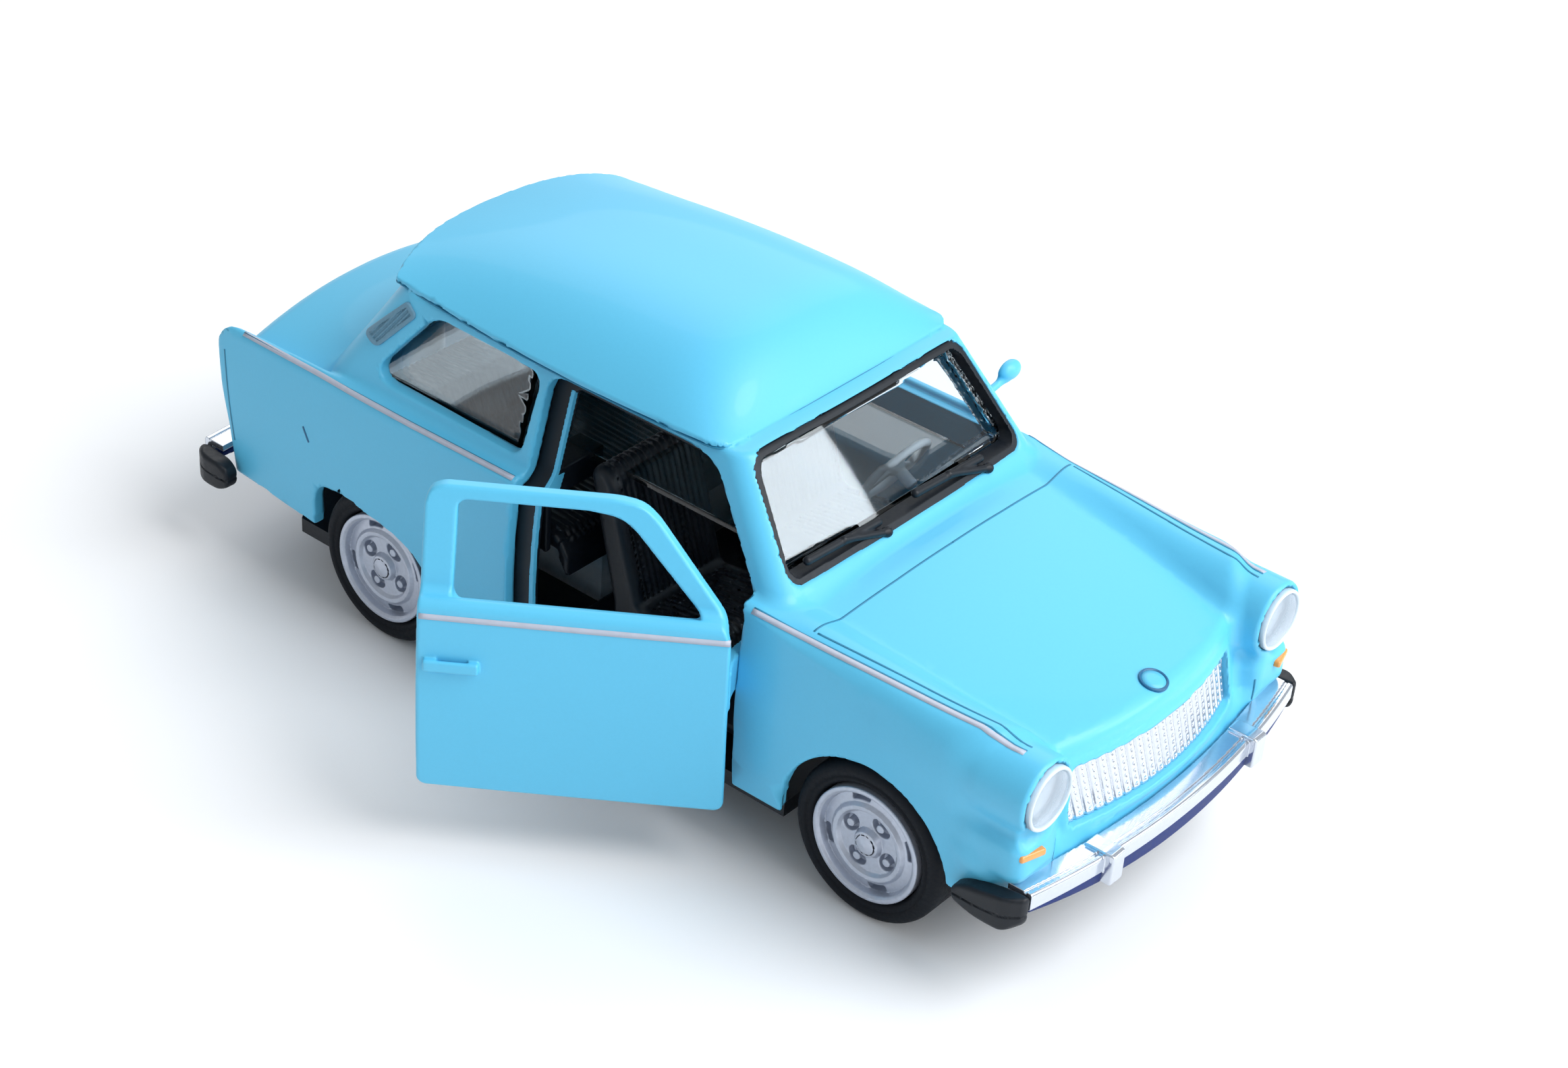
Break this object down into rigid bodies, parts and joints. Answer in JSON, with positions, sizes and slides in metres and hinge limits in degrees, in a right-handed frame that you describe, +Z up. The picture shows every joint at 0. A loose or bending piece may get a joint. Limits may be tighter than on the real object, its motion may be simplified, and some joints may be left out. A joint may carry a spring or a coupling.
{
  "type": "pull back toy car",
  "caption": "Die-cast two-door toy saloon with hinged doors, rubber-tyred wheels on two axles and a geared spring motor that winds when rolled back.",
  "frame": {"origin": "centre of the base plate's flat underside, midway between the axles on the car's centre plane; the wheels reach 5 mm below it", "axes": "+X towards the front bumper, +Y to the car's left, +Z up"},
  "size_m": [0.1062, 0.0655, 0.0425],
  "materials": {
    "body_paint": "gloss light blue paint, grey printed belt lines",
    "black_plastic": "satin moulded black",
    "tyre_rubber": "matte black rubber",
    "silver_plastic": "silver-painted plastic",
    "chrome_plating": "vacuum-plated plastic",
    "steel": "plain drawn steel",
    "clear_plastic": "clear polystyrene",
    "amber_lens": "amber paint on the lamp pod",
    "red_lens": "red transparent plastic",
    "pale_plastic": "pale grey moulded plastic",
    "gear_plastic": "unfilled white acetal"
  },
  "bodies": {
    "chassis": {"base_plate": "black_plastic", "body_shell": "body_paint", "bonnet_badge": "silver_plastic", "dashboard": "black_plastic", "front_bumper_bar": "chrome_plating", "front_left_bumper_corner": "black_plastic", "front_right_bumper_corner": "black_plastic", "front_screw": "steel", "grille": "chrome_plating", "idler_shaft": "steel", "interior_tub": "black_plastic", "left_headlamp_lens": "clear_plastic", "left_headlamp_reflector": "chrome_plating", "left_hinge_pin": "steel", "left_indicator": "amber_lens", "left_tail_lamp": "red_lens", "left_wiper": "black_plastic", "motor_case": "pale_plastic", "motor_cover": "pale_plastic", "rear_bumper_bar": "chrome_plating", "rear_left_bumper_corner": "black_plastic", "rear_right_bumper_corner": "black_plastic", "rear_screw": "steel", "right_headlamp_lens": "clear_plastic", "right_headlamp_reflector": "chrome_plating", "right_hinge_pin": "steel", "right_indicator": "amber_lens", "right_tail_lamp": "red_lens", "right_wiper": "black_plastic", "steering_wheel": "pale_plastic", "window_glazing": "clear_plastic"},
    "left_door": {"left_door": "body_paint", "left_door_mirror": "body_paint"},
    "right_door": {"right_door": "body_paint"},
    "front_wheels": {"front_axle": "steel", "front_left_tyre": "tyre_rubber", "front_left_rim": "silver_plastic", "front_right_tyre": "tyre_rubber", "front_right_rim": "silver_plastic"},
    "rear_wheels": {"rear_axle": "steel", "axle_pinion": "gear_plastic", "rear_left_tyre": "tyre_rubber", "rear_left_rim": "silver_plastic", "rear_right_tyre": "tyre_rubber", "rear_right_rim": "silver_plastic"},
    "idler": {"idler_gear": "gear_plastic"},
    "spring_drum": {"spring_gear": "gear_plastic", "spring_arbor": "steel", "mainspring": "steel"}
  },
  "joints": [
    {"name": "right_door_hinge", "type": "hinge", "parent": "chassis", "child": "right_door", "pos_m": [0.0215, -0.0195, 0.0145], "axis": [0, 0, 1], "range_deg": [-36, 1]},
    {"name": "left_door_hinge", "type": "hinge", "parent": "chassis", "child": "left_door", "pos_m": [0.0215, 0.0195, 0.0145], "axis": [0, 0, -1], "range_deg": [0, 37]},
    {"name": "front_axle_spin", "type": "hinge", "parent": "chassis", "child": "front_wheels", "pos_m": [0.03, 0, 0.003], "axis": [0, 1, 0], "continuous": true},
    {"name": "rear_axle_spin", "type": "hinge", "parent": "chassis", "child": "rear_wheels", "pos_m": [-0.03, 0, 0.003], "axis": [0, 1, 0], "continuous": true},
    {"name": "idler_spin", "type": "hinge", "parent": "chassis", "child": "idler", "pos_m": [-0.02466, 0, 0.0047], "axis": [0, 1, 0], "continuous": true},
    {"name": "spring_spin", "type": "hinge", "parent": "chassis", "child": "spring_drum", "pos_m": [-0.01924, 0, 0.0061], "axis": [0, 1, 0], "continuous": true}
  ],
  "couplings": [
    {"joint": "idler_spin", "follows": "rear_axle_spin", "ratio": -0.55556},
    {"joint": "spring_spin", "follows": "rear_axle_spin", "ratio": 0.22222}
  ]
}
